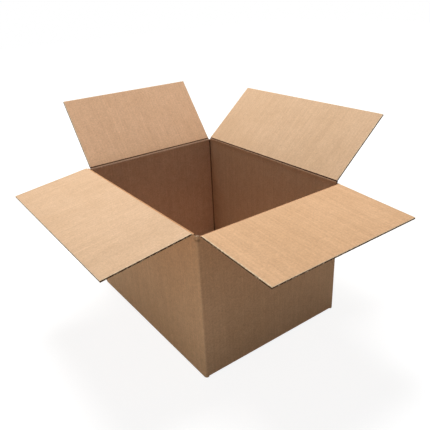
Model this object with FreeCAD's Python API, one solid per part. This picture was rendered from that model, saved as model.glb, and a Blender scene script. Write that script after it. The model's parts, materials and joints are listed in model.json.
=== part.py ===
import FreeCAD, Part
import math
import os

# Open corrugated cardboard box: a regular slotted carton, 18 x 14 x 12 in, made from one
# folded sheet of single wall board. The glued bottom is shut and the four top flaps stand
# folded outwards. Millimetres, +Z up, the origin at the centre of the underside.
# X runs across the 14 in width and Y along the 18 in length.

# Board
BOARD = 4.0
LINER = 0.5
MEDIUM = 0.55
FLUTE_PITCH = 7.9
FLUTE_RUN = 2.4
WEB = 0.8

# Case
INSIDE_X = 355.6
INSIDE_Y = 457.2
INSIDE_Z = 304.8
FLAP_SEAM = 8.0
BOTTOM_SEAM = 1.0
BOTTOM_SEAM_X = 1.5
SLOT_WIDTH = 9.5

# Folds
FOLD_RADIUS = 4.0
INNER_FOLD_RADIUS = 1.2
HINGE_OFFSET = 0.25
FOLD_GAP = 0.3
BEAD_RADIUS = 1.6
CREASE_STRIP = 9.0
CLOSED_GAP = 0.3

# Glued side joint
TAB_WIDTH = 35.0
TAB_FOOT_GAP = 3.0
TAB_HEAD_GAP = 8.0
TAB_TAPER_DEG = 15.0
JOINT_SETBACK = 1.0
JOINT_SQUEEZE = 0.2

# How far each top flap is folded past upright, in degrees
LEFT_OPEN_DEG = 97.5
RIGHT_OPEN_DEG = 49.8
FRONT_OPEN_DEG = 94.4
BACK_OPEN_DEG = 37.3

# Sizes that follow
OUTER_X = INSIDE_X + 2 * BOARD
OUTER_Y = INSIDE_Y + 2 * BOARD
SLOT_INSET = BOARD / 2 + SLOT_WIDTH / 2
SHORT_SPAN = OUTER_X - 2 * SLOT_INSET
LONG_SPAN = OUTER_Y - 2 * SLOT_INSET
SHORT_FLOOR_Z = BOARD
FLOOR_Z = SHORT_FLOOR_Z + BOARD
INNER_A = HINGE_OFFSET + BOARD
SHORT_CREASE_Z = FLOOR_Z + INSIDE_Z + INNER_A
LONG_CREASE_Z = SHORT_CREASE_Z + BOARD + CLOSED_GAP
LONG_REACH = OUTER_X / 2 + HINGE_OFFSET - FLAP_SEAM / 2
SHORT_REACH = LONG_REACH + LONG_CREASE_Z - SHORT_CREASE_Z
BOTTOM_REACH = OUTER_X / 2 - BOTTOM_SEAM / 2
MITRE_SHIFT = FOLD_GAP / math.sqrt(2)
SLOT_FLOOR_Z = SHORT_CREASE_Z - INNER_A - MITRE_SHIFT - FOLD_GAP


def point(x, y, z):
    return FreeCAD.Vector(x, y, z)


def section(corners):
    """A closed flat wire: a corner is a point, or a pair of points for an arc through
    the first to the second."""
    edges = []
    last = corners[0]
    for corner in corners[1:] + [corners[0]]:
        if isinstance(corner, tuple):
            edges.append(Part.Arc(last, corner[0], corner[1]).toShape())
            last = corner[1]
        else:
            edges.append(Part.makeLine(last, corner))
            last = corner
    return Part.Face(Part.Wire(edges))


def mitre_meets(radius):
    """Depth inside the hinge line at which the 45 degree mitre meets a round of this radius."""
    return (math.sqrt(2 * radius ** 2 - MITRE_SHIFT ** 2) - MITRE_SHIFT) / 2


def panel(outer, crease_z, foot_z, reach, span):
    """One wall with its bottom flap, drawn in X and Z and drawn out along Y over its span:
    rounded bottom fold, mitred top edge and the crease's rolled bead."""
    hinge = outer + HINGE_OFFSET
    meet = mitre_meets(BEAD_RADIUS)
    bend = FOLD_RADIUS * (1 - math.sqrt(0.5))
    corners = [
        point(outer - reach, 0, foot_z),
        point(outer - FOLD_RADIUS, 0, foot_z),
        (point(outer - bend, 0, foot_z + bend), point(outer, 0, foot_z + FOLD_RADIUS)),
        point(outer, 0, crease_z),
        point(hinge + BEAD_RADIUS, 0, crease_z),
        (point(hinge, 0, crease_z + BEAD_RADIUS),
         point(hinge - meet, 0, crease_z - meet - MITRE_SHIFT)),
        point(hinge - INNER_A, 0, crease_z - INNER_A - MITRE_SHIFT),
        point(outer - BOARD, 0, foot_z + BOARD),
        point(outer - reach, 0, foot_z + BOARD),
    ]
    solid = section(corners).extrude(point(0, span, 0))
    solid.translate(point(0, -span / 2, 0))
    return solid


def turned(shape, degrees):
    shape.rotate(point(0, 0, 0), point(0, 0, 1), degrees)
    return shape


def corner_post():
    """The folded corner between two walls, drawn at +X +Y, between the slots' edges."""
    x0 = OUTER_X / 2 - SLOT_INSET
    y0 = OUTER_Y / 2 - SLOT_INSET
    x1 = OUTER_X / 2
    y1 = OUTER_Y / 2
    xi = x1 - BOARD
    yi = y1 - BOARD
    bend = FOLD_RADIUS * (1 - math.sqrt(0.5))
    inner_bend = INNER_FOLD_RADIUS * (1 - math.sqrt(0.5))
    z = SHORT_FLOOR_Z
    corners = [
        point(x1, y0, z),
        point(x1, y1 - FOLD_RADIUS, z),
        (point(x1 - bend, y1 - bend, z), point(x1 - FOLD_RADIUS, y1, z)),
        point(x0, y1, z),
        point(x0, yi, z),
        point(xi - INNER_FOLD_RADIUS, yi, z),
        (point(xi - inner_bend, yi - inner_bend, z), point(xi, yi - INNER_FOLD_RADIUS, z)),
        point(xi, y0, z),
    ]
    return section(corners).extrude(point(0, 0, SLOT_FLOOR_Z - z))


def joint_post():
    """The glued corner at +X -Y: the front wall's cut edge laps over the right wall's fold."""
    x0 = OUTER_X / 2 - SLOT_INSET
    x1 = OUTER_X / 2
    y0 = -OUTER_Y / 2
    yi = y0 + BOARD
    z = SHORT_FLOOR_Z
    height = point(0, 0, SLOT_FLOOR_Z - z)
    lap = Part.makeBox(SLOT_INSET - JOINT_SETBACK, BOARD, height.z, point(x0, y0, z))
    centre_y = yi + FOLD_RADIUS - JOINT_SQUEEZE
    touch = math.sqrt(FOLD_RADIUS ** 2 - (centre_y - yi) ** 2)
    bend = FOLD_RADIUS * math.sqrt(0.5)
    fold = section([
        point(x1 - BOARD, yi, z),
        point(x1 - FOLD_RADIUS + touch, yi, z),
        (point(x1 - FOLD_RADIUS + bend, centre_y - bend, z), point(x1, centre_y, z)),
        point(x1 - BOARD, centre_y, z),
    ]).extrude(height)
    return lap.fuse(fold)


def glue_tab():
    """The right wall's tab, glued flat inside the front wall, with its tapered ends."""
    x1 = OUTER_X / 2 - BOARD
    x0 = x1 - TAB_WIDTH
    yi = -OUTER_Y / 2 + BOARD
    foot = FLOOR_Z + TAB_FOOT_GAP
    head = SHORT_CREASE_Z - INNER_A - TAB_HEAD_GAP
    taper = TAB_WIDTH * math.tan(math.radians(TAB_TAPER_DEG))
    corners = [
        point(x1, yi, foot),
        point(x1, yi, head),
        point(x0, yi, head - taper),
        point(x0, yi, foot + taper),
    ]
    return section(corners).extrude(point(0, BOARD, 0))


def box_body():
    """The walls, the shut bottom and the glued side joint: all one folded sheet."""
    right_side = panel(OUTER_X / 2, LONG_CREASE_Z, 0, BOTTOM_REACH - BOTTOM_SEAM_X, LONG_SPAN)
    left_side = panel(OUTER_X / 2, LONG_CREASE_Z, 0, BOTTOM_REACH + BOTTOM_SEAM_X, LONG_SPAN)
    short_side = panel(OUTER_Y / 2, SHORT_CREASE_Z, SHORT_FLOOR_Z, BOTTOM_REACH, SHORT_SPAN)
    pieces = [turned(left_side, 180)]
    pieces += [turned(short_side.copy(), degrees) for degrees in (90, 270)]
    back_left = corner_post().mirror(point(0, 0, 0), point(1, 0, 0))
    front_left = back_left.mirror(point(0, 0, 0), point(0, 1, 0))
    pieces += [corner_post(), back_left, front_left, joint_post(), glue_tab()]
    return right_side.fuse(pieces).removeSplitter()


def flute_pockets(span, height):
    """The hollows either side of the fluted medium, as wires across the board at one height,
    turned over by turns, with the board standing at X from -INNER_A to -HINGE_OFFSET."""
    depth = BOARD - 2 * LINER - MEDIUM
    wide = FLUTE_PITCH / 4 + FLUTE_RUN / 2 - WEB / 2
    narrow = wide - FLUTE_RUN * depth / (BOARD - 2 * LINER)
    step = FLUTE_PITCH / 2
    count = int((span - 2 * wide - 2 * WEB) / step)
    wires = []
    for i in range(count + 1):
        y = (i - count / 2) * step
        inner = -INNER_A + LINER
        tip = inner + depth
        if i % 2:
            inner = -HINGE_OFFSET - LINER
            tip = inner - depth
        wires.append(Part.makePolygon([
            point(inner, y - wide, height),
            point(inner, y + wide, height),
            point(tip, y + narrow, height),
            point(tip, y - narrow, height),
            point(inner, y - wide, height),
        ]))
    return wires


def flap(span, reach):
    """One top flap, standing upright over the hinge line through the origin along Y, with the
    outside at +X: a creased root that clears the bead, then open flutes to the free edge."""
    notch = BEAD_RADIUS + FOLD_GAP
    meet = mitre_meets(notch)
    outer_foot = math.sqrt(notch ** 2 - HINGE_OFFSET ** 2)
    middle = math.radians(90 + 22.5)
    root = section([
        point(-HINGE_OFFSET, 0, outer_foot),
        (point(notch * math.cos(middle), 0, notch * math.sin(middle)),
         point(-meet, 0, meet + MITRE_SHIFT)),
        point(-INNER_A, 0, INNER_A + MITRE_SHIFT),
        point(-INNER_A, 0, CREASE_STRIP),
        point(-HINGE_OFFSET, 0, CREASE_STRIP),
    ]).extrude(point(0, span, 0))
    root.translate(point(0, -span / 2, 0))
    outline = Part.makePolygon([
        point(-INNER_A, -span / 2, CREASE_STRIP),
        point(-HINGE_OFFSET, -span / 2, CREASE_STRIP),
        point(-HINGE_OFFSET, span / 2, CREASE_STRIP),
        point(-INNER_A, span / 2, CREASE_STRIP),
        point(-INNER_A, -span / 2, CREASE_STRIP),
    ])
    fluted = Part.makeFace([outline] + flute_pockets(span, CREASE_STRIP), "Part::FaceMakerCheese")
    board = fluted.extrude(point(0, 0, reach - CREASE_STRIP))
    return root.fuse(board).removeSplitter()


def placed_flap(shape, open_deg, wall_deg, outer, crease_z):
    """Folds a flap outwards about its hinge line and sets it on the wall that faces wall_deg."""
    shape.rotate(point(0, 0, 0), point(0, 1, 0), open_deg)
    shape.translate(point(outer + HINGE_OFFSET, 0, crease_z))
    return turned(shape, wall_deg)


def all_nodes():
    nodes = {"box_body": box_body()}
    for name, wall_deg, open_deg in (("left_flap", 180, LEFT_OPEN_DEG),
                                     ("right_flap", 0, RIGHT_OPEN_DEG)):
        shape = flap(LONG_SPAN, LONG_REACH)
        nodes[name] = placed_flap(shape, open_deg, wall_deg, OUTER_X / 2, LONG_CREASE_Z)
    for name, wall_deg, open_deg in (("front_flap", 270, FRONT_OPEN_DEG),
                                     ("back_flap", 90, BACK_OPEN_DEG)):
        shape = flap(SHORT_SPAN, SHORT_REACH)
        nodes[name] = placed_flap(shape, open_deg, wall_deg, OUTER_Y / 2, SHORT_CREASE_Z)
    return nodes


os.makedirs("parts", exist_ok=True)
for node, solid in all_nodes().items():
    print(node, solid.ShapeType, len(solid.Solids), solid.isValid(), round(solid.Volume))
    solid.exportStep("parts/" + node + ".step")
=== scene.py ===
# %% [markdown]
# An open cardboard box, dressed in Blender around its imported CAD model. The frame brings
# in the CAD pieces, their sizes and their hinge lines, so whatever is drawn here fits them.
# Only the board's own small sizes are repeated below. All lengths are metres, +Z is up.
# Blender starts with a cube, a camera and a lamp that would be in the picture, so they are
# removed first.

# %% Load the frame
import json
import math

import bmesh
import bpy
from mathutils import Matrix, Vector


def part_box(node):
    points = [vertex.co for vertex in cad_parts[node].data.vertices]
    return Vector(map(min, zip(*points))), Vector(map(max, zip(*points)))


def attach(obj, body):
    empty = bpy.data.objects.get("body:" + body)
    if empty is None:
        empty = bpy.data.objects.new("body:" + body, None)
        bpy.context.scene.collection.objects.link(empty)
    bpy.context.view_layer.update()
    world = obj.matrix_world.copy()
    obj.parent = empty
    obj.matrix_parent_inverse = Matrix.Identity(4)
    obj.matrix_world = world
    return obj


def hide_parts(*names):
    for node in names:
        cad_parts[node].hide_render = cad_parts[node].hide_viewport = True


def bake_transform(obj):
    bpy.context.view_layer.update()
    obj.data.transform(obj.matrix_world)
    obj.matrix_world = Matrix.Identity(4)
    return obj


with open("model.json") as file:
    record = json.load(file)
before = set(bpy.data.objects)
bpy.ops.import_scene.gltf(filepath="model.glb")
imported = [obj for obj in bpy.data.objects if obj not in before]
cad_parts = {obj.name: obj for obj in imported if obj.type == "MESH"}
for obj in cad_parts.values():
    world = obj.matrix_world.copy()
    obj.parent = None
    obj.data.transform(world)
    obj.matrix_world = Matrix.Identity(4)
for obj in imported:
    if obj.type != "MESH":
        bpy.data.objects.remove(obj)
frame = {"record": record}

for startup in ("Cube", "Camera", "Light"):
    if startup in bpy.data.objects:
        bpy.data.objects.remove(bpy.data.objects[startup], do_unlink=True)

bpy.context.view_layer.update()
MM = 0.001

# %% [markdown]
# The board is the same single wall sheet everywhere: two paper liners with a fluted paper
# between them. A hinge line lies HINGE_OFFSET outside its wall, and the crease is a small
# rolled bead round it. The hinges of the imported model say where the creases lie, and how
# far each flap is open is what its closed limit leaves over 90 degrees.

# %% Sizes from the frame
BOARD = 4.0 * MM
HINGE_OFFSET = 0.25 * MM
INNER_FACE = BOARD + HINGE_OFFSET
FOLD_GAP = 0.3 * MM
MITRE_SHIFT = FOLD_GAP / math.sqrt(2)
BEAD_RADIUS = 1.6 * MM
FOLD_RADIUS = 4.0 * MM
INNER_FOLD_RADIUS = 1.2 * MM
PAPER = 0.38 * MM
FLUTE_PITCH = 7.9 * MM

hinges = {joint["child"]: joint for joint in frame["record"]["behaviour"]["joints"]}
outer_x = 2 * (abs(hinges["right_flap"]["pos_m"][0]) - HINGE_OFFSET)
outer_y = 2 * (abs(hinges["back_flap"]["pos_m"][1]) - HINGE_OFFSET)
long_crease = hinges["right_flap"]["pos_m"][2]
short_crease = hinges["back_flap"]["pos_m"][2]
long_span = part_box("left_flap")[1][1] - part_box("left_flap")[0][1]
short_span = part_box("front_flap")[1][0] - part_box("front_flap")[0][0]
slot_inset = (outer_x - short_span) / 2
print("outside", round(outer_x / MM, 1), round(outer_y / MM, 1), "spans",
      round(long_span / MM, 2), round(short_span / MM, 2), "slot inset", round(slot_inset / MM, 2))

# %% How far the flaps stand open
def open_angle(name):
    """How far past upright a flap rests, in degrees."""
    return -hinges[name]["range_deg"][0] - 90


def flap_reach(name):
    """From the hinge line to the flap's free edge, read from the node's farthest corner."""
    pos = Vector(hinges[name]["pos_m"])
    low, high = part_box(name)
    across = 0 if abs(pos.x) > abs(pos.y) else 1
    out = max(abs(low[across]), abs(high[across])) - abs(pos[across])
    angle = math.radians(open_angle(name))
    lip = INNER_FACE if angle > math.pi / 2 else HINGE_OFFSET
    return (out + lip * math.cos(angle)) / math.sin(angle)


for name in hinges:
    print(name, "open", round(open_angle(name), 1), "reach", round(flap_reach(name) / MM, 2))

# %% [markdown]
# The camera comes early, so that every later step can be looked at from the photo's place:
# a little above the rim, at the corner where the left wall meets the front wall, and rolled
# slightly. The lens is the one whose perspective fits the box's corners. A camera could be
# dragged into place by hand, but a few named numbers are easier to fit and to read.

# %% Camera
CAMERA_AZIMUTH = -35.0
CAMERA_ELEVATION = 25.2
CAMERA_ROLL = -3.0
CAMERA_DISTANCE = 1153.0 * MM
CAMERA_TARGET = Vector((21.95, -0.07, 214.3)) * MM
SENSOR = 36.0
PHOTO_WIDTH = 430
FOCAL_PIXELS = 488.4


def add_camera():
    """Looks at the target from an azimuth that is 0 in front of the box."""
    a, e = math.radians(CAMERA_AZIMUTH), math.radians(CAMERA_ELEVATION)
    back = Vector((math.sin(a) * math.cos(e), -math.cos(a) * math.cos(e), math.sin(e)))
    data = bpy.data.cameras.new("camera")
    data.lens = SENSOR * FOCAL_PIXELS / PHOTO_WIDTH
    data.sensor_width = SENSOR
    camera = bpy.data.objects.new("camera", data)
    bpy.context.scene.collection.objects.link(camera)
    camera.location = CAMERA_TARGET + back * CAMERA_DISTANCE
    camera.rotation_mode = "QUATERNION"
    roll = Matrix.Rotation(math.radians(CAMERA_ROLL), 4, "Z").to_quaternion()
    camera.rotation_quaternion = (-back).to_track_quat("-Z", "Y") @ roll
    bpy.context.scene.camera = camera
    return camera


print("camera at", [round(v, 3) for v in add_camera().location])

# %% [markdown]
# The papers could be pictures wrapped round the box, but a picture repeats and needs a
# file. Here they are built from noise that reads Object coordinates, so the pattern stays
# put on the board and no two places are alike. This helper keeps the node trees short to
# read: most of its functions add one step and hand back the socket that comes next.

# %% A helper for node trees
class Shader:
    """The node tree of a material or of the world, with short ways to add nodes."""

    def __init__(self, owner):
        self.owner = owner
        owner.use_nodes = True
        self.tree = owner.node_tree
        self.tree.nodes.clear()

    def add(self, kind, **values):
        node = self.tree.nodes.new(kind)
        for key, value in values.items():
            setattr(node, key, value)
        return node

    def link(self, source, target):
        self.tree.links.new(source, target)

    def fill(self, sockets, values):
        """Sets or links each socket, by whether its value is plain or another socket."""
        for socket, value in zip(sockets, values):
            if isinstance(value, (int, float, tuple)):
                socket.default_value = value
            else:
                self.link(value, socket)

    def math(self, operation, a, b):
        node = self.add("ShaderNodeMath", operation=operation)
        self.fill(node.inputs, (a, b))
        return node.outputs["Value"]

    def mix(self, factor, a, b, blend="MIX"):
        node = self.add("ShaderNodeMix", data_type="RGBA", blend_type=blend)
        self.fill((node.inputs[0], node.inputs[6], node.inputs[7]), (factor, a, b))
        return node.outputs[2]

    def span(self, source, low, high, to_low, to_high):
        """Maps a value from one span to another, clamped."""
        node = self.add("ShaderNodeMapRange")
        for key, value in (("From Min", low), ("From Max", high),
                           ("To Min", to_low), ("To Max", to_high)):
            node.inputs[key].default_value = value
        self.link(source, node.inputs["Value"])
        return node.outputs["Result"]

    def shade(self, base, level, strength=1.0):
        """Makes a colour darker or paler by one level for all its channels."""
        grey = self.add("ShaderNodeCombineColor")
        for channel in grey.inputs:
            self.link(level, channel)
        return self.mix(strength, base, grey.outputs["Color"], "MULTIPLY")

    def along(self, axis):
        """One Object coordinate."""
        place = self.add("ShaderNodeTexCoord")
        split = self.add("ShaderNodeSeparateXYZ")
        self.link(place.outputs["Object"], split.inputs["Vector"])
        return split.outputs[axis]


print("helper ready")

# %% [markdown]
# Noise is the stuff of every paper here. Its scale says how fine it is, and a stretch draws
# it out along the sheet. Most of its values lie between 0.3 and 0.7, which is why spread
# maps just that span. All papers share one dull surface, with a relief of their own.

# %% Noise for papers
X, Y, Z = 0, 1, 2


def noise(shader, scale, stretch=(1, 1, 1), detail=3.0, rough=0.55):
    """Noise in Object coordinates, with its own scale along each axis."""
    place = shader.add("ShaderNodeTexCoord")
    mapping = shader.add("ShaderNodeMapping")
    mapping.inputs["Scale"].default_value = stretch
    shader.link(place.outputs["Object"], mapping.inputs["Vector"])
    node = shader.add("ShaderNodeTexNoise")
    node.inputs["Scale"].default_value = scale
    node.inputs["Detail"].default_value = detail
    node.inputs["Roughness"].default_value = rough
    shader.link(mapping.outputs["Vector"], node.inputs["Vector"])
    return node.outputs["Fac"]


def spread(shader, source, low, high):
    """Maps the span that noise mostly keeps to, to another."""
    return shader.span(source, 0.3, 0.7, low, high)


def shares(shader, a, b, share):
    """Two noises added, the first with its share and the second with the rest."""
    return shader.math("ADD", shader.math("MULTIPLY", a, share),
                       shader.math("MULTIPLY", b, 1.0 - share))


def stretched(axis, amount):
    """A scale that differs along one axis: under 1 draws a pattern out, over 1 packs it."""
    return tuple(amount if i == axis else 1.0 for i in range(3))


def tinted(colour, tint, lift=0.0):
    """A colour times a tint, with alpha, as a colour socket takes it."""
    return tuple(min(1.0, c * k + lift) for c, k in zip(colour, tint)) + (1.0,)


def paper_surface(shader, base, sheen, roughness, relief, strength, depth):
    """The dull surface that all papers share, with a relief of its own."""
    bsdf = shader.add("ShaderNodeBsdfPrincipled")
    bsdf.inputs["Specular IOR Level"].default_value = sheen
    shader.link(base, bsdf.inputs["Base Color"])
    shader.link(roughness, bsdf.inputs["Roughness"])
    bump = shader.add("ShaderNodeBump")
    bump.inputs["Strength"].default_value = strength
    bump.inputs["Distance"].default_value = depth
    shader.link(relief, bump.inputs["Height"])
    shader.link(bump.outputs["Normal"], bsdf.inputs["Normal"])
    output = shader.add("ShaderNodeOutputMaterial")
    shader.link(bsdf.outputs["BSDF"], output.inputs["Surface"])
    return shader.owner


print("paper noise ready")

# %% [markdown]
# Kraft liner is brown paper made of long fibres. From a step away it reads as one colour
# with soft cloudy patches; nearer, it shows short darker and paler fibres that lie mostly
# along the sheet, and dark flecks. Faint bands, paler over each flute and darker where the
# liner sinks between the flutes that it is glued to, are painted shade of that washboard.
# One noise can't be all of that, so each is a layer of its own over the last. The box's
# outside also changes with height: it is paler and bluer near the floor, and warmer and
# darker under the flaps, which is painted shade and warm bounce light from the flaps.

# %% Kraft liner
CLOUD, BLOTCH, MOTTLE, FLECK, FIBRE = 7.0, 55.0, 300.0, 420.0, 900.0
STREAK, SCUFF = 4.5, 9.0
FIBRE_STRETCH = 0.22
STREAK_STRETCH = 30.0
DEEP_TINT = (0.94, 0.925, 0.90)
PALE_TINT = (1.04, 1.05, 1.07)
FLECK_TINT = (0.45, 0.45, 0.45)
WORN_TINT = (1.16, 1.16, 1.16)
WORN_LIFT = 0.02
SHADE_HEIGHT = 0.32
NEAR_FLOOR_TINT = (1.07, 1.10, 1.13, 1.0)
UNDER_FLAP_SHADE_TINT = (0.985, 0.90, 0.815, 1.0)


def washboard_shade(shader, axis, depth):
    """Painted shade of the washboard: paler over each flute's crest and darker between, by a share
    of the colour.
    """
    turns = shader.math("MULTIPLY", shader.along(axis), 2 * math.pi / FLUTE_PITCH)
    crest = shader.span(shader.math("SINE", turns, 0.0), -1.0, 1.0, 0.0, 1.0)
    return shader.span(crest, 0.0, 1.0, 1.0 - depth, 1.0)


def kraft_paper(name, colour, axis, grain=0.12, washboard_shade_depth=0.03, streaks=0.035, flap_shade_by_height=False):
    """Uncoated liner over flutes that repeat along an axis."""
    shader = Shader(bpy.data.materials.new(name))
    cloud = noise(shader, CLOUD, detail=5.0, rough=0.65)
    blotch = noise(shader, BLOTCH, detail=4.0, rough=0.6)
    tone = shader.span(shares(shader, cloud, blotch, 0.55), 0.36, 0.64, 0.0, 1.0)
    base = shader.mix(tone, tinted(colour, DEEP_TINT), tinted(colour, PALE_TINT))

    across_flutes = stretched(axis, FIBRE_STRETCH)
    fibre = noise(shader, FIBRE, across_flutes, detail=5.0, rough=0.7)
    base = shader.shade(base, spread(shader, fibre, 0.90, 1.10), 0.8)
    fleck = noise(shader, FLECK, across_flutes, detail=2.0, rough=0.5)
    base = shader.mix(shader.span(fleck, 0.70, 0.80, 0.0, 0.55), base,
                      tinted(colour, FLECK_TINT))
    # Painted shade of the washboard: darker between the flutes.
    base = shader.shade(base, washboard_shade(shader, axis, washboard_shade_depth))

    along_flutes = stretched(axis, STREAK_STRETCH)
    streak = noise(shader, STREAK, along_flutes, detail=2.0, rough=0.5)
    mottle = noise(shader, MOTTLE, detail=3.0, rough=0.6)
    uneven = shader.math("MULTIPLY", spread(shader, streak, 1.0 - streaks, 1.0 + streaks),
                         spread(shader, mottle, 1.0 - grain, 1.0 + grain))
    base = shader.shade(base, uneven)
    # Painted shade and warm bounce light under the flaps: the outside turns warmer and darker
    # towards the top, and paler and bluer towards the floor.
    if flap_shade_by_height:
        height = shader.span(shader.along(Z), 0.0, SHADE_HEIGHT, 0.0, 1.0)
        base = shader.mix(1.0, base, shader.mix(height, NEAR_FLOOR_TINT, UNDER_FLAP_SHADE_TINT), "MULTIPLY")
    scuff = noise(shader, SCUFF, along_flutes, detail=3.0, rough=0.5)
    base = shader.mix(shader.span(scuff, 0.66, 0.74, 0.0, 0.5), base,
                      tinted(colour, WORN_TINT, WORN_LIFT))

    relief = shader.math("ADD", fibre, shader.math("MULTIPLY", blotch, 1.5))
    return paper_surface(shader, base, 0.22, spread(shader, blotch, 0.78, 0.92),
                         relief, 0.35, 0.12 * MM)


print("kraft liner ready")

# %% [markdown]
# Where the board is cut, the paper shows no smooth face: it is fuzzy, rough and uneven in
# tone, with short tears along it. It is the same for the crushed rims, the fluted paper and
# the creases, which differ only in colour, so one function makes all of them.

# %% Cut paper
CUT_SHADOW = (0.62, 0.62, 0.62)
CUT_LIGHT = (1.12, 1.12, 1.12)
FUZZ, TEAR = 1400.0, 260.0


def cut_paper(name, colour, shadow=CUT_SHADOW, torn_from=0.36, torn_to=0.62):
    """Bare cut paper, in its shadow tint where the noise is under torn_from."""
    shader = Shader(bpy.data.materials.new(name))
    fuzz = noise(shader, FUZZ, detail=4.0, rough=0.7)
    tear = noise(shader, TEAR, detail=3.0, rough=0.6)
    tone = shares(shader, fuzz, tear, 0.35)
    base = shader.mix(shader.span(tone, torn_from, torn_to, 0.0, 1.0),
                      tinted(colour, shadow), tinted(colour, CUT_LIGHT))
    return paper_surface(shader, base, 0.15, spread(shader, tear, 0.85, 0.97),
                         tone, 0.6, 0.2 * MM)


print("cut paper ready")

# %% [markdown]
# The colours are the photo's, each flap with its own: that is partly the sheet's uneven
# brown and partly painted light and shade, for how brightly each flap is lit. The insides
# of the flaps are a little pinker and paler than the outside of the walls. The well is the
# inside of the box; its liner is a darker copy of the flaps' inner liner, which is painted
# shade. The fluted paper and the backs of the liners inside the board are nearly black:
# that is painted shade of the hollow flutes, which make a cut edge look nearly black from
# afar, while the liner that the die crushed beside them is torn and pale. The score and
# the pressed fold are dark papers in the creases, and are painted shade too.

# %% Papers of the box
OUTSIDE_COLOUR = {X: (0.512, 0.308, 0.172), Y: (0.57, 0.347, 0.188)}
# The well's liner, inside the box, is a darker copy of the flaps' inner liner: painted shade.
WELL_SHADE_COLOUR = {X: (0.55, 0.367, 0.255), Y: (0.50, 0.32, 0.20)}
# Each flap's own colour is partly the sheet's uneven tone and partly painted light and shade, by
# how brightly that flap is lit.
LEFT_COLOUR = (0.61, 0.41, 0.256)
RIGHT_COLOUR = (0.564, 0.378, 0.233)
FRONT_COLOUR = (0.61, 0.375, 0.21)
BACK_COLOUR = (0.625, 0.39, 0.237)
# The fluted paper and the liners' backs: near black, painted shade of the hollow flutes.
FLUTE_SHADE_COLOUR = (0.10, 0.048, 0.026)
TORN_COLOUR = (0.70, 0.52, 0.34)
FLECK_SHADOW = (0.15, 0.09, 0.07)
RIM_COLOUR = (0.36, 0.20, 0.10)
# The score and the pressed fold: dark papers that are painted shade in the creases.
SCORE_SHADE_COLOUR = (0.12, 0.055, 0.03)
FOLD_SHADE_COLOUR = (0.33, 0.205, 0.125)

outside = {axis: kraft_paper("kraft_outside_" + "xy"[axis], OUTSIDE_COLOUR[axis], axis,
                             flap_shade_by_height=True)
           for axis in (X, Y)}
inside = {"left_flap": kraft_paper("kraft_inside_left", LEFT_COLOUR, Y, 0.09),
          "right_flap": kraft_paper("kraft_inside_right", RIGHT_COLOUR, Y, 0.10),
          "front_flap": kraft_paper("kraft_inside_front", FRONT_COLOUR, X, 0.10, 0.045, 0.045),
          "back_flap": kraft_paper("kraft_inside_back", BACK_COLOUR, X)}
shaded_well = {axis: kraft_paper("kraft_shaded_well_" + "xy"[axis], WELL_SHADE_COLOUR[axis], axis)
        for axis in (X, Y)}
flute_shade = cut_paper("flute_shade", FLUTE_SHADE_COLOUR)
torn_edge = cut_paper("torn_edge", TORN_COLOUR)
raw_rim = cut_paper("raw_rim", RIM_COLOUR)
flecked_edge = cut_paper("flecked_edge", TORN_COLOUR, FLECK_SHADOW, 0.50, 0.60)
score_shade = cut_paper("score_shade", SCORE_SHADE_COLOUR)
fold_shade = cut_paper("fold_shade", FOLD_SHADE_COLOUR)
print("liners", [paper.name for paper in (*outside.values(), *inside.values(), *shaded_well.values())])
print("cut papers", [paper.name for paper in (flute_shade, torn_edge, raw_rim, flecked_edge,
                                              score_shade, fold_shade)])

# %% [markdown]
# Every piece of board starts the same way: one loose point is extruded from corner to
# corner into the line of a section, and that line is extruded across one flute. Boxes with
# Bevel and Boolean modifiers could give the same outside. Drawing the section keeps the
# fold, the rolled bead of the crease and both liners one sheet, as on the real board.

# %% Drawing sections
TOUCH = 0.01 * MM
WELD = 0.001 * MM


def start_piece(name):
    """One loose point at the origin, in edit mode."""
    bpy.ops.object.select_all(action="DESELECT")
    bpy.ops.mesh.primitive_plane_add(size=MM)
    piece = bpy.context.object
    piece.name = piece.data.name = name
    bpy.ops.object.mode_set(mode="EDIT")
    bpy.ops.mesh.merge(type="CENTER")
    return piece


def extrude(step):
    """Extrudes what is selected by a step."""
    bpy.ops.mesh.extrude_region_move(TRANSFORM_OT_translate={"value": step})


def draw_line(points):
    """Extrudes the selected point along a list of corners."""
    bpy.ops.transform.translate(value=points[0])
    for here, there in zip(points, points[1:]):
        extrude(there - here)


def pull(step, count):
    """Extrudes the whole piece by the same step, over and over."""
    bpy.ops.mesh.select_all(action="SELECT")
    for _ in range(count):
        extrude(step)


def choose(test, kind="VERT"):
    """Selects the vertices or faces that pass a test, and nothing else."""
    bpy.ops.mesh.select_mode(type=kind)
    bpy.ops.mesh.select_all(action="DESELECT")
    mesh = bmesh.from_edit_mesh(bpy.context.object.data)
    for part in (mesh.verts if kind == "VERT" else mesh.faces):
        part.select = test(part)
    mesh.select_flush(True)
    bmesh.update_edit_mesh(bpy.context.object.data)


def face_outwards():
    """Makes all faces of a piece look the same way, outwards where it is closed."""
    bpy.ops.mesh.select_all(action="SELECT")
    bpy.ops.mesh.normals_make_consistent(inside=False)


def at(x, z):
    """A corner of a section, which is drawn in the X and Z plane."""
    return Vector((x, 0, z))


def arc(centre, radius, start, end, steps):
    """Corners along a round of a section, by angles in degrees from +X."""
    angles = [math.radians(start + (end - start) * i / steps) for i in range(steps + 1)]
    return [at(centre[0] + radius * math.cos(a), centre[1] + radius * math.sin(a))
            for a in angles]


def straight(a, b, steps):
    """Corners between two places, without the first."""
    return [a.lerp(b, (i + 1) / steps) for i in range(steps)]


print("a quarter round of 4 mm:", [(round(corner.x / MM, 2), round(corner.z / MM, 2))
                                   for corner in arc((0, 0), 4 * MM, 0, 90, 3)])

# %% [markdown]
# A drawn piece is finished in object mode: modifiers are applied at once, so that the next
# step acts on real faces, and each piece's place goes into its mesh, because the finished
# objects all sit at the origin, unturned.

# %% Finishing pieces
CRISP_ANGLE = 38


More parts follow.
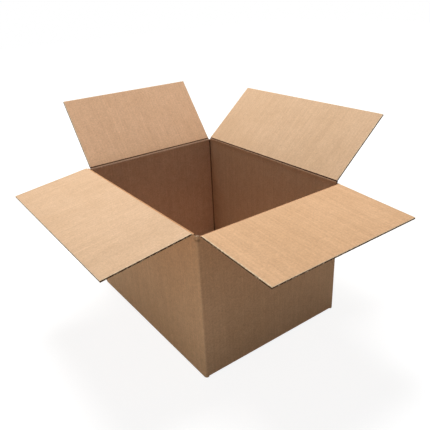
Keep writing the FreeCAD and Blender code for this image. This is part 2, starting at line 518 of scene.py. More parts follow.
def take(piece):
    """Makes a piece the only selected and active one."""
    bpy.ops.object.select_all(action="DESELECT")
    bpy.context.view_layer.objects.active = piece
    piece.select_set(True)


def edit(piece):
    """Takes a piece and opens it in edit mode."""
    take(piece)
    bpy.ops.object.mode_set(mode="EDIT")


def done():
    """Back to object mode."""
    bpy.ops.object.mode_set(mode="OBJECT")


def apply(piece, kind, **values):
    """Adds a modifier, sets it and applies it."""
    take(piece)
    modifier = piece.modifiers.new(kind.lower(), kind)
    for key, value in values.items():
        setattr(modifier, key, value)
    bpy.ops.object.modifier_apply(modifier=modifier.name)


def repeat(piece, count, pitch):
    """Copies a piece side by side along Y and welds the copies."""
    apply(piece, "ARRAY", count=count, use_relative_offset=False, use_constant_offset=True,
          constant_offset_displace=(0, pitch, 0), use_merge_vertices=True,
          merge_threshold=TOUCH)


def settle(piece, placing):
    """Moves and turns a piece, then puts that place into its mesh."""
    take(piece)
    piece.matrix_world = placing
    bpy.ops.object.transform_apply(location=True, rotation=True, scale=True)


def flip(piece):
    """Turns all faces of a piece round."""
    edit(piece)
    bpy.ops.mesh.select_all(action="SELECT")
    bpy.ops.mesh.flip_normals()
    done()


def smooth(piece):
    """Soft shading over the rounds, crisp at the cut edges."""
    take(piece)
    bpy.ops.object.shade_smooth_by_angle(angle=math.radians(CRISP_ANGLE))


def dress(piece, materials):
    """Adds material slots in order."""
    for material in materials:
        piece.data.materials.append(material)


def face_side(piece, test, slot):
    """Gives the faces that pass a test a material slot."""
    for face in piece.data.polygons:
        if test(face):
            face.material_index = slot


def join(name, pieces):
    """Joins pieces into one object with its transform at rest."""
    bpy.ops.object.select_all(action="DESELECT")
    for piece in pieces:
        piece.select_set(True)
    bpy.context.view_layer.objects.active = pieces[0]
    bpy.ops.object.join()
    whole = bpy.context.object
    whole.name = whole.data.name = name
    return whole


print("tools ready")

# %% [markdown]
# Both liners of a sheet are one skin: it runs up the outside, round the crease and down
# the inside. One flute's width of it is drawn, its middle sinks a few hundredths of a
# millimetre where the liner isn't glued to a flute, and an Array repeats it over the span.
# Solidify then gives the paper its thickness towards the hollow inside of the board. It
# also picks the slots: a face in slot 0, 1 or CRUSHED gets its back BACK slots further on
# and its cut rim RIM slots further on. The list below is in that order, from slot 2 on.

# %% Skins
COLUMNS = 4
RIPPLE = 0.06 * MM
PINCH = 0.55 * MM
CRUSH_WIDTH = 1.1 * MM
RAGGED = 0.16 * MM
BACK, RIM = 2, 4
CRUSHED = 6
# The backs of the liners take the near-black flute paper, which is painted shade of the hollow
# flutes.
SKIN_FINISH = [flute_shade, flute_shade, raw_rim, raw_rim, torn_edge, raw_rim, flute_shade, raw_rim,
               raw_rim]


def flutes_over(span):
    """How many whole flutes a span has, and their pitch."""
    count = round(span / FLUTE_PITCH)
    return count, span / count


def skin(name, line, span, materials):
    """A folded skin of paper over a span along Y: materials are outside and inside."""
    count, pitch = flutes_over(span)
    piece = start_piece(name)
    draw_line(line)
    pull(Vector((0, pitch / COLUMNS, 0)), COLUMNS)
    face_outwards()
    done()
    outermost = max(piece.data.polygons, key=lambda face: face.center.x)
    if outermost.normal.x < 0:
        flip(piece)
    edit(piece)
    choose(lambda v: abs(v.co.y - pitch / 2) < pitch / COLUMNS / 2)
    bpy.ops.transform.shrink_fatten(value=-RIPPLE)
    done()
    repeat(piece, count, pitch)
    dress(piece, materials + SKIN_FINISH)
    return piece


def pinch_sides(piece, span, seed):
    """The die crushes a cut edge: the liners close in on each other, a little unevenly."""
    edit(piece)
    choose(lambda v: v.co.y < TOUCH or v.co.y > span - TOUCH)
    bpy.ops.transform.shrink_fatten(value=-PINCH)
    bpy.ops.transform.vertex_random(offset=RAGGED, seed=seed)
    done()


def paper_back(piece, span):
    """Thickens a skin inwards and centres it: its back is near-black paper, painted shade of the
    hollow flutes, and its rims raw.
    """
    apply(piece, "SOLIDIFY", thickness=PAPER, offset=-1.0, use_even_offset=True,
          use_quality_normals=True, material_offset=BACK, material_offset_rim=RIM)
    settle(piece, Matrix.Translation((0, -span / 2, 0)))
    return piece


print("flutes across a long flap and a short one:", flutes_over(long_span)[0],
      flutes_over(short_span)[0])

# %% [markdown]
# The fluted paper, which makers call the medium, shows as a wave wherever the board is cut
# across its flutes. It could be a picture of a wave on the cut, but seen from the side the
# flutes are tunnels, so it is modelled: one wave is drawn, pulled up and repeated.

# %% Fluted paper
WAVE_STEPS = 8
MEDIUM_ROWS = 3
MEDIUM_PAPER = 0.26 * MM
MEDIUM_CLEARANCE = 0.16 * MM
MEDIUM_SWING = (BOARD - 2 * PAPER) / 2 - MEDIUM_CLEARANCE


def medium(name, span, low, high, centre):
    """The fluted paper, standing in X over a span along Y, from low to high in Z."""
    count, pitch = flutes_over(span)
    piece = start_piece(name)
    line = []
    for i in range(WAVE_STEPS + 1):
        turn = 2 * math.pi * i / WAVE_STEPS
        line.append(Vector((centre + MEDIUM_SWING * math.cos(turn), pitch * i / WAVE_STEPS,
                            low)))
    draw_line(line)
    pull(Vector((0, 0, (high - low) / MEDIUM_ROWS)), MEDIUM_ROWS)
    done()
    repeat(piece, count, pitch)
    apply(piece, "SOLIDIFY", thickness=MEDIUM_PAPER, offset=0.0)
    settle(piece, Matrix.Translation((0, -span / 2, 0)))
    # The fluted paper is near black: painted shade of its hollow flutes.
    dress(piece, [flute_shade])
    return piece


print("the medium swings", round(MEDIUM_SWING / MM, 2), "mm to each side")

# %% [markdown]
# A top flap is drawn standing over its hinge line, which is the origin. Its root is cut
# to a mitre and hollowed round the crease's bead, so it clears the bead at every angle. At
# the free edge the die has pressed both liners in. An extra row of corners close to a bend
# (HOLD) keeps the flat faces beside it flat.

# %% Section of a flap
ROWS = 12
HOLD = 0.5 * MM
NOTCH = BEAD_RADIUS + FOLD_GAP
NOTCH_STEPS = 4
SHOULDER_IN = 0.1 * MM
SHOULDER_UP = 0.45 * MM
SHOULDER_ROW = 2.5 * MM


def mitre_meets(radius):
    """How far inside the hinge line the 45 degree mitre meets a round of this radius."""
    return (math.sqrt(2 * radius ** 2 - MITRE_SHIFT ** 2) - MITRE_SHIFT) / 2


def flap_line(reach):
    """The skin's line: down the outside, round the root and up the inside."""
    meet = mitre_meets(NOTCH)
    foot = math.sqrt(NOTCH ** 2 - HINGE_OFFSET ** 2)
    lip = at(-HINGE_OFFSET, foot)
    start = math.degrees(math.atan2(foot, -HINGE_OFFSET))
    end = math.degrees(math.atan2(meet + MITRE_SHIFT, -meet))
    shoulder = at(-INNER_FACE, INNER_FACE + MITRE_SHIFT)
    crushed = reach - CRUSH_WIDTH
    held = at(0, -HOLD)
    line = [at(-HINGE_OFFSET - PINCH, reach), at(-HINGE_OFFSET, crushed)]
    line += [line[-1] + held]
    line += straight(line[-1], lip, ROWS)
    line += arc((0, 0), NOTCH, start, end, NOTCH_STEPS)[1:]
    line += straight(line[-1], shoulder + at(HOLD, -HOLD), 2)
    line += [shoulder + at(SHOULDER_IN, SHOULDER_UP)]
    line += [at(-INNER_FACE, INNER_FACE + SHOULDER_ROW)]
    line += straight(line[-1], at(-INNER_FACE, crushed) + held, ROWS)
    line += [at(-INNER_FACE, crushed), at(-INNER_FACE + PINCH, reach)]
    return line


print("corners in a flap's section", len(flap_line(flap_reach("left_flap"))))

# %% [markdown]
# From close by, a cut edge isn't one clean line: the fluted paper is pressed flat against
# the outer liner and comes out of the cut in shreds. A thin strip round three edges, with
# its corners moved at random, stands for those shreds. The random draws have seeds, so the
# box looks the same each time.

# %% Crushed edges
SHRED_HEIGHT = 1.0 * MM
SHRED_PAPER = 0.3 * MM
SHRED_SINK = 0.1 * MM
SHRED_SIDE_INSET = 0.25 * MM
SHRED_TOP_INSET = 0.3 * MM
SIDE_SHREDS, TOP_SHREDS = 45, 110
FLUTE_FOOT = INNER_FACE + 3 * MM


def fray(piece, reach, seed):
    """The free edge is cut across the flutes and is a little ragged."""
    edit(piece)
    choose(lambda v: v.co.z > reach - TOUCH)
    bpy.ops.transform.vertex_random(offset=RAGGED, seed=seed)
    bpy.ops.transform.translate(value=(0, 0, -RAGGED))
    done()


def crushed_edge(name, span, reach, seed):
    """The fluted paper that the die pressed against the outer liner, round three edges."""
    deep = HINGE_OFFSET + PINCH + PAPER - SHRED_SINK
    side = span / 2 - SHRED_SIDE_INSET
    top = reach - SHRED_TOP_INSET
    corners = [Vector((-deep, -side, FLUTE_FOOT))]
    corners += straight(corners[0], Vector((-deep, -side, top)), SIDE_SHREDS)
    corners += straight(corners[-1], Vector((-deep, side, top)), TOP_SHREDS)
    corners += straight(corners[-1], Vector((-deep, side, FLUTE_FOOT)), SIDE_SHREDS)
    strip = start_piece(name)
    draw_line(corners)
    pull(at(-SHRED_HEIGHT, 0), 1)
    bpy.ops.transform.vertex_random(offset=2 * RAGGED, seed=seed)
    done()
    apply(strip, "SOLIDIFY", thickness=SHRED_PAPER, offset=0.0)
    dress(strip, [flecked_edge])
    return strip


print("shreds round a flap", 2 * SIDE_SHREDS + TOP_SHREDS)

# %% [markdown]
# The four flaps differ only in span, reach, colour and angle, so one function makes them
# all. Each is drawn upright over the +X wall, opened about its hinge line, spun round to
# its own wall and moved to its hinge. It rides on its own body, so it turns with its hinge.

# %% Flaps
MEDIUM_INSET = 0.7 * MM
CRUSH_OVERLAP = 0.1 * MM


def make_flap(name, wall_deg):
    """One flap with its skin and medium, folded open and set on its hinge line."""
    long = name in ("left_flap", "right_flap")
    span = long_span if long else short_span
    reach = flap_reach(name)
    axis = Y if long else X
    middle = -(INNER_FACE + HINGE_OFFSET) / 2
    sheet = skin(name, flap_line(reach), span, [outside[axis], inside[name]])
    face_side(sheet, lambda face: face.center.x < middle, 1)
    edge_z = reach - CRUSH_WIDTH + CRUSH_OVERLAP
    face_side(sheet, lambda face: face.center.z > edge_z
              or not CRUSH_WIDTH < face.center.y < span - CRUSH_WIDTH, CRUSHED)
    fray(sheet, reach, wall_deg + 1)
    pinch_sides(sheet, span, wall_deg + 2)
    paper_back(sheet, span)
    core = medium(name + "_medium", span, FLUTE_FOOT, reach - MEDIUM_INSET, middle)
    rim = crushed_edge(name + "_rim", span, reach, wall_deg + 3)
    whole = join(name + "_board", [sheet, core, rim])
    turn = Matrix.Rotation(math.radians(open_angle(name)), 4, "Y")
    spin = Matrix.Rotation(math.radians(wall_deg), 4, "Z")
    place = Matrix.Translation(hinges[name]["pos_m"])
    settle(whole, place @ spin @ turn)
    smooth(whole)
    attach(whole, name)
    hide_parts(name)
    return whole


wall_turns = {"left_flap": 180, "right_flap": 0, "front_flap": 270, "back_flap": 90}
for name, wall_deg in wall_turns.items():
    flap = make_flap(name, wall_deg)
    print(flap.name, "faces", len(flap.data.polygons))

# %% [markdown]
# A wall and its bottom flap are one skin too. It starts at the bottom flap's free edge,
# turns up round the bottom fold, climbs the wall, rolls over the crease's bead and comes
# down the inside. The bottom flaps of the long walls lie outermost, and those of the short
# walls on top of them, one board higher.

# %% Section of a wall
WALL_ROWS = 6
BOTTOM_ROWS = 3
BOTTOM_FOLD_STEPS = 6
BEAD_STEPS = 9
INNER_CURVE = 1.0 * MM
INNER_CURVE_MIDDLE = 0.3 * MM


def wall_line(outer, crease, foot, reach):
    """The skin's line for a wall whose outer face is at X = outer."""
    hinge = outer + HINGE_OFFSET
    meet = mitre_meets(BEAD_RADIUS)
    end = math.degrees(math.atan2(-meet - MITRE_SHIFT, -meet)) % 360
    inner = outer - BOARD
    floor_top = foot + BOARD
    line = [at(outer - reach, foot)]
    line += straight(line[0], at(outer - FOLD_RADIUS, foot), BOTTOM_ROWS)
    line += arc((outer - FOLD_RADIUS, foot + FOLD_RADIUS), FOLD_RADIUS, -90, 0,
                BOTTOM_FOLD_STEPS)[1:]
    line += straight(line[-1], at(outer, crease), WALL_ROWS)
    line += [at(hinge + BEAD_RADIUS, crease)]
    line += arc((hinge, crease), BEAD_RADIUS, 0, end, BEAD_STEPS)[1:]
    shoulder = at(hinge - INNER_FACE, crease - INNER_FACE - MITRE_SHIFT)
    line += straight(line[-1], shoulder + at(HOLD, HOLD), 2)
    line += [shoulder + at(SHOULDER_IN, -SHOULDER_UP)]
    line += [at(inner, shoulder.z - SHOULDER_ROW)]
    line += straight(line[-1], at(inner, floor_top + INNER_CURVE), WALL_ROWS)
    line += [at(inner - INNER_CURVE_MIDDLE, floor_top + INNER_CURVE_MIDDLE)]
    line += [at(inner - INNER_CURVE, floor_top)]
    line += straight(line[-1], at(outer - reach, floor_top), BOTTOM_ROWS)
    return line


print("corners in a wall's section", len(wall_line(outer_x / 2, long_crease, 0, outer_x / 4)))

# %% [markdown]
# The four walls are made like the flaps: each is drawn as the +X wall and spun round. Only
# a bottom flap's cut end shows its medium, and nobody sees the rest of it inside the wall,
# so the walls have a medium in their bottom flaps alone.

# %% Walls and bottom
BOTTOM_SEAM = 1.0 * MM
SEAM_OFF_MIDDLE = 1.5 * MM
BOTTOM_MEDIUM_INSET = 0.25 * MM
bottom_reach = outer_x / 2 - BOTTOM_SEAM / 2


def make_wall(name, outer, crease, foot, reach, span, axis, wall_deg):
    """One wall with its bottom flap, turned to face its way."""
    # The wall's inside takes the well's darker liner, which is painted shade.
    sheet = skin(name, wall_line(outer, crease, foot, reach), span,
                 [outside[axis], shaded_well[axis]])
    middle_x = outer - BOARD / 2
    middle_z = foot + BOARD / 2
    face_side(sheet, lambda face: face.center.x < middle_x
              and middle_z < face.center.z < crease, 1)
    paper_back(sheet, span)
    core = medium(name + "_medium", span, outer - reach + BOTTOM_MEDIUM_INSET, outer - BOARD,
                  -middle_z)
    settle(core, Matrix.Rotation(math.radians(90), 4, "Y"))
    whole = join(name, [sheet, core])
    settle(whole, Matrix.Rotation(math.radians(wall_deg), 4, "Z"))
    return whole


def long_wall(name, reach, wall_deg):
    """A wall along Y, whose bottom flap lies outermost."""
    return make_wall(name, outer_x / 2, long_crease, 0, reach, long_span, Y, wall_deg)


def short_wall(name, wall_deg):
    """A wall along X, whose bottom flap lies on those of the long walls."""
    return make_wall(name, outer_y / 2, short_crease, BOARD, bottom_reach, short_span, X,
                     wall_deg)


walls = [long_wall("right_wall", bottom_reach - SEAM_OFF_MIDDLE, 0),
         long_wall("left_wall", bottom_reach + SEAM_OFF_MIDDLE, 180),
         short_wall("front_wall", 270),
         short_wall("back_wall", 90)]
print("walls", [len(wall.data.polygons) for wall in walls])

# %% [markdown]
# On the two far flaps the inner liner is seen running on through the crease: it comes up
# the wall, rolls a little into the box, dips into the score and goes on up the flap. On
# the far left flap the score lies SCORE_LIFT above the bend, and the roll below it is
# pressed. The dark score, the darker roll and the wall's darker liner on the strip are
# painted shade in the crease. The strip of liner is drawn in one line, with the flap's
# part turned open. The two near flaps are folded so far that such a strip would turn the
# short way round when they shut, so there the two mitred boards meet without one.

# %% Line of the far creases
PROUD = 0.03 * MM
SCORE_LIFT = 3.6 * MM


def crease_line(angle, lift):
    """The strip's corners, with the hinge at the origin and the flap open by an angle.

    Both parts are drawn upright, and the flap's part is then turned open."""
    turn = Matrix.Rotation(angle, 3, "Y")
    bend = INNER_FACE * math.tan(angle / 2)
    face = -INNER_FACE - PROUD

    def corner(rolled, z):
        """A corner that stands so many millimetres proud of the liner."""
        return at(face - rolled * MM, z)

    wall_part = [corner(0.0, -INNER_FACE - 9.0 * MM), corner(0.04, -INNER_FACE - 6.0 * MM),
                 corner(0.22, -INNER_FACE - 3.0 * MM), corner(0.50, -INNER_FACE),
                 corner(0.72, -2.2 * MM), corner(0.72, bend - 2.6 * MM)]
    if lift:
        wall_part += [corner(0.60, bend - 1.2 * MM)]
        flap_part = [corner(0.55, 0.9 * MM - bend), corner(0.40, lift - 1.5 * MM - bend),
                     corner(-1.5, lift - bend), corner(0.0, lift + 1.4 * MM - bend)]
    else:
        score_share = (INNER_FACE - 2.2 * MM) / INNER_FACE
        wall_part += [corner(0.30, bend - 1.8 * MM), at(face, bend) * score_share]
        flap_part = [corner(0.04, 1.4 * MM - bend), corner(0.10, 2.4 * MM - bend)]
    flap_part += [corner(0.0, INNER_FACE), corner(0.0, INNER_FACE + 1.2 * MM)]
    return wall_part + [turn @ place for place in flap_part]


print("corners in a far crease", len(crease_line(math.radians(open_angle("back_flap")),
                                                 SCORE_LIFT)))

# %% [markdown]
# The strip's faces are told apart by height along the flap: the wall's liner, then the
# pressed roll, then the flap's liner, with the dark score where the strip dips into the
# board. The wall's liner is the well's darker copy, and the roll and the score are dark
# papers: all three are painted shade.

# %% Liner through the far creases
CREASE_COLUMNS = 60
CREASE_PAPER = 0.2 * MM
SCORE_SHADE_SUNK = 0.35 * MM
SPAN_PLAY = 0.1 * MM


def make_crease(name, wall_deg):
    """The strip of inner liner through the crease of a far flap."""
    long = name == "right_flap"
    span = (long_span if long else short_span) - SPAN_PLAY
    angle = math.radians(open_angle(name))
    lift = 0 if long else SCORE_LIFT
    strip = start_piece(name + "_crease")
    draw_line(crease_line(angle, lift))
    pull(Vector((0, span / CREASE_COLUMNS, 0)), CREASE_COLUMNS)
    done()
    lowest = max(strip.data.polygons, key=lambda face: -face.center.z)
    if lowest.normal.x > 0:
        flip(strip)
    dress(strip, [inside[name], score_shade, shaded_well[Y if long else X], fold_shade])
    shut = Matrix.Rotation(-angle, 3, "Y")
    score_z = lift - INNER_FACE * math.tan(angle / 2)
    sunk = -INNER_FACE + SCORE_SHADE_SUNK
    # The roll, the wall's part and the dip get dark papers: painted shade in the crease.
    face_side(strip, lambda face: (shut @ face.center).z < score_z, 3)
    face_side(strip, lambda face: (shut @ face.center).z < score_z - lift, 2)
    face_side(strip, lambda face: min(face.center.x, (shut @ face.center).x) > sunk, 1)
    apply(strip, "SOLIDIFY", thickness=CREASE_PAPER, offset=-1.0)
    spin = Matrix.Rotation(math.radians(wall_deg), 4, "Z")
    place = Matrix.Translation(hinges[name]["pos_m"]) @ spin
    settle(strip, place @ Matrix.Translation((0, -span / 2, 0)))
    smooth(strip)
    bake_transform(strip)
    return strip


for name in ("right_flap", "back_flap"):
    strip = make_crease(name, wall_turns[name])
    print(strip.name, "faces", len(strip.data.polygons))

# %% [markdown]
# The four upright folds join the walls. Three of them are the sheet bent round a score;
# the fourth is the glued joint, which comes next. Each fold is a post: its outline from
# above is drawn and pulled up. Inside, the bend is pressed into a groove, and the dark
# line along it and the duller band on both sides are painted shade. Outlines are drawn in
# the X and Y plane here, so they have their own arc.

# %% Posts
POST_ROWS = 12
LIP = 0.45 * MM
SINK = 1.3 * MM
SCORE_DEPTH = 1.3 * MM


def flat_arc(x, y, radius, start, end, steps):
    """Corners along a round that is seen from above."""
    angles = [math.radians(start + (end - start) * i / steps) for i in range(steps + 1)]
    return [Vector((x + radius * math.cos(a), y + radius * math.sin(a), 0)) for a in angles]


def upright(name, outline, foot, head, rows, slots):
    """A closed outline pulled up, with both cut ends sunk between the liners."""
    piece = start_piece(name)
    lowest = Vector((0, 0, foot))
    draw_line([corner + lowest for corner in outline + outline[:1]])
    bpy.ops.mesh.select_all(action="SELECT")
    bpy.ops.mesh.remove_doubles(threshold=WELD)
    pull(Vector((0, 0, (head - foot) / rows)), rows)
    for level, way in ((head, -1), (foot, 1)):
        choose(lambda v: abs(v.co.z - level) < TOUCH)
        bpy.ops.mesh.edge_face_add()
        bpy.ops.mesh.inset(thickness=LIP, depth=0)
        extrude((0, 0, way * SINK))
    face_outwards()
    done()
    dress(piece, slots)
    return piece


def corner_outline(x_side, y_side, inset):
    """The folded sheet at a corner, seen from above, with the score pressed in inside."""
    x0, y0 = outer_x / 2 - inset, outer_y / 2 - inset
    x1, y1 = outer_x / 2, outer_y / 2
    outline = [Vector((x1, y0, 0))]
    outline += flat_arc(x1 - FOLD_RADIUS, y1 - FOLD_RADIUS, FOLD_RADIUS, 0, 90, 6)
    outline += [Vector((x0, y1, 0)), Vector((x0, y1 - BOARD, 0))]
    fold = (x1 - BOARD - INNER_FOLD_RADIUS, y1 - BOARD - INNER_FOLD_RADIUS, INNER_FOLD_RADIUS)
    outline += flat_arc(*fold, 90, 68, 2)
    outline += flat_arc(fold[0], fold[1], INNER_FOLD_RADIUS + SCORE_DEPTH, 49, 41, 1)
    outline += flat_arc(*fold, 22, 0, 2)
    outline += [Vector((x1 - BOARD, y0, 0))]
    return [Vector((p.x * x_side, p.y * y_side, 0)) for p in outline]


print("corners round a post", len(corner_outline(1, 1, slot_inset)))

# %% [markdown]
# A post shows several papers at once, so its faces are painted by where they lie and which
# way they look. Its inner faces take the well's darker liner, and the faces along the fold
# inside take the dark score and the pressed fold, which are all painted shade. The posts
# stop at the floor of the slot between two flaps. Above it stands a short ear, a little
# narrower, where the die left the corner of the sheet between the two creases; the far
# ears are cut lower than the near one.

# %% Corners
POST_FINISH = [outside[Y], shaded_well[Y], torn_edge, outside[X], shaded_well[X], score_shade, fold_shade]
OUT_Y, SHADED_WELL_Y, CUT, OUT_X, SHADED_WELL_X, SCORE_SHADE, FOLD_SHADE = range(len(POST_FINISH))
SCORE_SHADE_WIDTH = 0.9 * INNER_FOLD_RADIUS
FOLD_SHADE_WIDTH = 2.0 * MM
slot_floor = short_crease - INNER_FACE - MITRE_SHIFT - FOLD_GAP
EAR_FOOT = slot_floor - 3 * MM
EAR_TOP = short_crease + 1.0 * MM
EAR_STEP = 1.0 * MM
EAR_INSET = slot_inset - 0.3 * MM


def paint_post(piece, x_side=1, y_side=1):
    """Outer, inner, cut and scored faces of a post by where they lie and look; the inner, scored
    and pressed faces are painted shade.
    """
    inner_x, inner_y = outer_x / 2 - BOARD, outer_y / 2 - BOARD

    def near_fold(place, width):
        return place.x * x_side > inner_x - width and place.y * y_side > inner_y - width

    for face in piece.data.polygons:
        c, n = face.center, face.normal
        sideways = abs(n.y) > abs(n.x)
        if abs(n.z) > 0.5 or c.z < BOARD:
            face.material_index = CUT
        elif n.dot(Vector((c.x, c.y, 0))) > 0:
            face.material_index = OUT_X if sideways else OUT_Y
        elif near_fold(c, SCORE_SHADE_WIDTH):
            face.material_index = SCORE_SHADE
        elif near_fold(c, FOLD_SHADE_WIDTH):
            face.material_index = FOLD_SHADE
        else:
            face.material_index = SHADED_WELL_X if sideways else SHADED_WELL_Y


posts = []
for x_side, y_side in ((1, 1), (-1, 1), (-1, -1)):
    for inset, foot, head, rows in (
            (slot_inset, BOARD, slot_floor, POST_ROWS),
            (EAR_INSET, EAR_FOOT, EAR_TOP - y_side * EAR_STEP, 1)):
        post = upright("post", corner_outline(x_side, y_side, inset), foot, head, rows,
                       POST_FINISH)
        paint_post(post, x_side, y_side)
        posts.append(post)
print("posts", len(posts))

# %% [markdown]
# The glued joint, where the sheet's two ends meet, has three pieces of board: the front
# wall's end with its bare cut edge, the right wall's fold squeezed beside it, and the tab
# that is glued flat inside, its ends cut slanting so that it slides in behind the wall.

# %% Glued joint
TAB_WIDTH = 35.0 * MM
TAB_FOOT = 2 * BOARD + 3.0 * MM
TAB_HEAD = short_crease - INNER_FACE - 8.0 * MM
TAB_SLANT = 15
TAB_TAPER = TAB_WIDTH * math.tan(math.radians(TAB_SLANT))
JOINT_SETBACK = 1.0 * MM
JOINT_SQUEEZE = 0.2 * MM


def lap_piece(inset, foot, head, rows):
    """The front wall's end, with its liners standing proud of the sunk cut."""
    x0, cut_x = outer_x / 2 - inset, outer_x / 2 - JOINT_SETBACK
    y0 = -outer_y / 2
    yi = y0 + BOARD
    lap = upright("lap", [Vector((x0, y0, 0)), Vector((cut_x, y0, 0)), Vector((cut_x, yi, 0)),
                          Vector((x0, yi, 0))], foot, head, rows,
                  [outside[X], shaded_well[X], torn_edge])
    edit(lap)
    choose(lambda f: f.normal.x > 0.9 and f.calc_center_median().x > cut_x - TOUCH, "FACE")
    bpy.ops.mesh.inset(thickness=LIP, depth=-SINK)
    done()
    face_side(lap, lambda face: max(abs(face.normal.x), abs(face.normal.z)) > 0.5, 2)
    return lap


def fold_piece(foot, head, rows):
    """The right wall's fold, squeezed against the front wall's inner liner."""
    x1 = outer_x / 2
    yi = -outer_y / 2 + BOARD
    centre_y = yi + FOLD_RADIUS - JOINT_SQUEEZE
    touch = math.degrees(math.acos((centre_y - yi) / FOLD_RADIUS))
    outline = [Vector((x1 - BOARD, centre_y, 0)), Vector((x1 - BOARD, yi, 0))]
    outline += flat_arc(x1 - FOLD_RADIUS, centre_y, FOLD_RADIUS, touch - 90, 0, 6)
    fold = upright("fold", outline, foot, head, rows, POST_FINISH)
    paint_post(fold, 1, -1)
    return fold


def glue_tab():
    """The tab inside, a board thick, with its cut edges sunk between its liners."""
    x1 = outer_x / 2 - BOARD
    x0 = x1 - TAB_WIDTH
    yi = -outer_y / 2 + BOARD
    piece = start_piece("tab")
    draw_line([Vector((x1, yi, TAB_FOOT)), Vector((x1, yi, TAB_HEAD)),
               Vector((x0, yi, TAB_HEAD - TAB_TAPER)), Vector((x0, yi, TAB_FOOT + TAB_TAPER)),
               Vector((x1, yi, TAB_FOOT))])
    bpy.ops.mesh.select_all(action="SELECT")
    bpy.ops.mesh.remove_doubles(threshold=WELD)
    bpy.ops.mesh.select_all(action="SELECT")
    bpy.ops.mesh.edge_face_add()
    extrude((0, BOARD, 0))
    face_outwards()
    choose(lambda f: f.normal.x < -0.9 or abs(f.normal.z) > 0.5, "FACE")
    bpy.ops.mesh.inset(thickness=LIP, depth=-SINK, use_even_offset=True)
    done()
    dress(piece, [shaded_well[X], torn_edge])
    face_side(piece, lambda face: abs(face.normal.y) < 0.5, 1)
    return piece


joint = [lap_piece(slot_inset, BOARD, slot_floor, POST_ROWS),
         fold_piece(BOARD, slot_floor, POST_ROWS),
         lap_piece(EAR_INSET, EAR_FOOT, EAR_TOP, 1),
         fold_piece(EAR_FOOT, EAR_TOP, 1),
         glue_tab()]
print("pieces of the joint", [piece.name for piece in joint])

# %% [markdown]
# Walls, bottom, posts and joint are one folded and glued sheet, so they are joined into
# one object. It takes the place of the CAD model's body, which gave it its sizes.

# %% The body
body = join("box_body_board", walls + posts + joint)
smooth(body)
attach(body, "carton")
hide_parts("box_body")
print("body faces", len(body.data.polygons))

# %% [markdown]
# The floor. The photo is a studio cut-out on white. A plain white plane would need so much
# light that the paper bleaches, so the floor glows white only to the rays that come from
# the camera. To all other rays it is dull white card, which throws light up at the box as
# a studio's floor does. A little dull grey under the glow keeps the box's shadow.

# %% Floor
FLOOR_SIZE = 14.0
FLOOR_DROP = 0.0002
GLOW_NEAR = 0.88
GLOW_FROM, GLOW_TO = 0.5, 1.5
SHADOW_GREY = (0.25, 0.25, 0.25, 1)
CARD_WHITE = (0.80, 0.80, 0.80, 1)
WHITE = (1, 1, 1, 1)


def seen_directly(shader):
    """1 where the camera looks, straight, in a reflection or through glass, otherwise 0."""
    path = shader.add("ShaderNodeLightPath")
    turned = shader.math("MAXIMUM", path.outputs["Is Glossy Ray"],
                         path.outputs["Is Transmission Ray"])
    return shader.math("MAXIMUM", path.outputs["Is Camera Ray"], turned)


def pick_shader(shader, otherwise, seen):
    """One shader for what is seen directly, another for all the light that bounces."""
    pick = shader.add("ShaderNodeMixShader")
    shader.link(seen_directly(shader), pick.inputs[0])
    shader.link(otherwise.outputs[0], pick.inputs[1])
    shader.link(seen.outputs[0], pick.inputs[2])
    return pick.outputs[0]


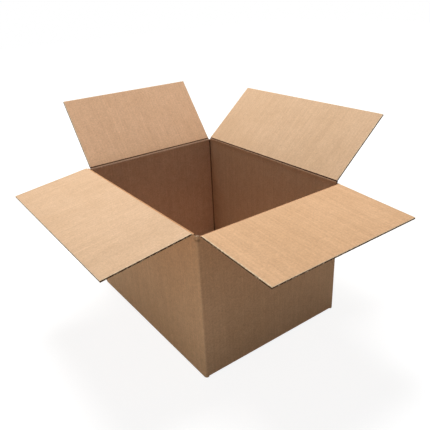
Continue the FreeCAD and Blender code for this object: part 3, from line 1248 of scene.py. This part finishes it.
def pale_floor():
    """White to the camera, card to the light, with a fade out to full white."""
    shader = Shader(bpy.data.materials.new("pale_floor"))
    place = shader.add("ShaderNodeTexCoord")
    far = shader.add("ShaderNodeVectorMath", operation="LENGTH")
    shader.link(place.outputs["Object"], far.inputs[0])
    white = shader.add("ShaderNodeEmission")
    white.inputs["Color"].default_value = WHITE
    glow = shader.span(far.outputs["Value"], GLOW_FROM, GLOW_TO, GLOW_NEAR, 1.0)
    shader.link(glow, white.inputs["Strength"])
    lit = shader.add("ShaderNodeBsdfDiffuse")
    lit.inputs["Color"].default_value = SHADOW_GREY
    shown = shader.add("ShaderNodeAddShader")
    shader.link(white.outputs[0], shown.inputs[0])
    shader.link(lit.outputs[0], shown.inputs[1])
    card = shader.add("ShaderNodeBsdfDiffuse")
    card.inputs["Color"].default_value = CARD_WHITE
    output = shader.add("ShaderNodeOutputMaterial")
    shader.link(pick_shader(shader, card, shown), output.inputs["Surface"])
    return shader.owner


bpy.ops.object.select_all(action="DESELECT")
bpy.ops.mesh.primitive_plane_add(size=FLOOR_SIZE, location=(0, 0, -FLOOR_DROP))
floor = bpy.context.object
floor.name = "floor"
floor.data.materials.append(pale_floor())
print("floor", FLOOR_SIZE, "m wide")

# %% [markdown]
# The light. In the photo it is soft and comes from above, a little from behind: the flaps
# are bright, the walls under them dim, and the two walls nearly alike. So one large soft
# box hangs over the box, a small weak one stands low at the left for the left wall, and
# the world adds an even, faint light. The world shows white to the camera, as the floor.

# %% Lights and world
KEY_PLACE, KEY_SIZE, KEY_WATTS = (0.2, 0.6, 2.5), 1.1, 72
FILL_PLACE, FILL_SIZE, FILL_WATTS = (-1.75, -1.0, 0.2), 0.36, 5.5
AIM = Vector((0, 0, 0.3))
AMBIENT = 0.16


def soft_box(name, place, size, watts):
    """A square soft light that looks at the middle of the box."""
    data = bpy.data.lights.new(name, "AREA")
    data.shape = "SQUARE"
    data.size = size
    data.energy = watts
    lamp = bpy.data.objects.new(name, data)
    bpy.context.scene.collection.objects.link(lamp)
    lamp.location = place
    lamp.rotation_mode = "QUATERNION"
    lamp.rotation_quaternion = (AIM - Vector(place)).to_track_quat("-Z", "Y")
    return lamp


def studio():
    """A world that lights faintly and shows white."""
    world = bpy.data.worlds.new("studio")
    shader = Shader(world)
    ambient = shader.add("ShaderNodeBackground")
    ambient.inputs["Color"].default_value = WHITE
    ambient.inputs["Strength"].default_value = AMBIENT
    backdrop = shader.add("ShaderNodeBackground")
    backdrop.inputs["Color"].default_value = WHITE
    result = shader.add("ShaderNodeOutputWorld")
    shader.link(pick_shader(shader, ambient, backdrop), result.inputs["Surface"])
    return world


key = soft_box("key", KEY_PLACE, KEY_SIZE, KEY_WATTS)
fill = soft_box("fill", FILL_PLACE, FILL_SIZE, FILL_WATTS)
bpy.context.scene.world = studio()
bpy.context.scene.view_settings.view_transform = "Standard"
print("lamps", key.name, fill.name, "world", bpy.context.scene.world.name)
